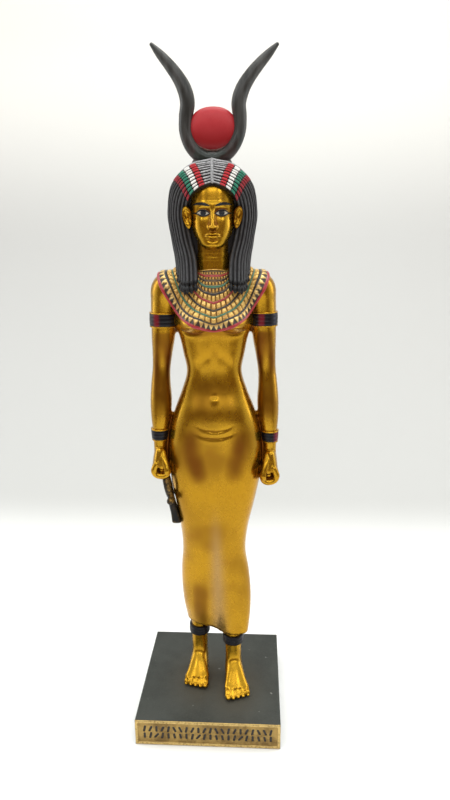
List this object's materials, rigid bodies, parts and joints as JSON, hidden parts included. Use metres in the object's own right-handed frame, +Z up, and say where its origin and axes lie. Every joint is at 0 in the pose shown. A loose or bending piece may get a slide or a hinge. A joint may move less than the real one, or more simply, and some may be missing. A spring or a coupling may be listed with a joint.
{
  "type": "isis statue",
  "caption": "Standing figurine of an Egyptian goddess with a horned sun crown, a long wig, a broad collar and a looped cross, on a square plinth",
  "frame": {"origin": "middle of the underside of the plinth, on the surface that it stands on", "axes": "+Z up through the figure, -Y is the way the plinth's front faces, +X is the figure's left hand"},
  "size_m": [0.064, 0.064, 0.2879],
  "materials": {
    "painted_gold": "satin antique gold paint over cast resin, browner in the hollows",
    "wig_black": "black paint, dry-brushed grey on the raised strands",
    "horn_charcoal": "satin charcoal paint with faint brown and green",
    "disc_red": "satin red paint",
    "bead_paints": "red, green, white, black and gold paint on raised beads",
    "plinth_black": "dusty black paint, a gold front with rows of dark strokes"
  },
  "bodies": {
    "root": {"plinth": "plinth_black", "figure": "painted_gold"}
  },
  "joints": []
}
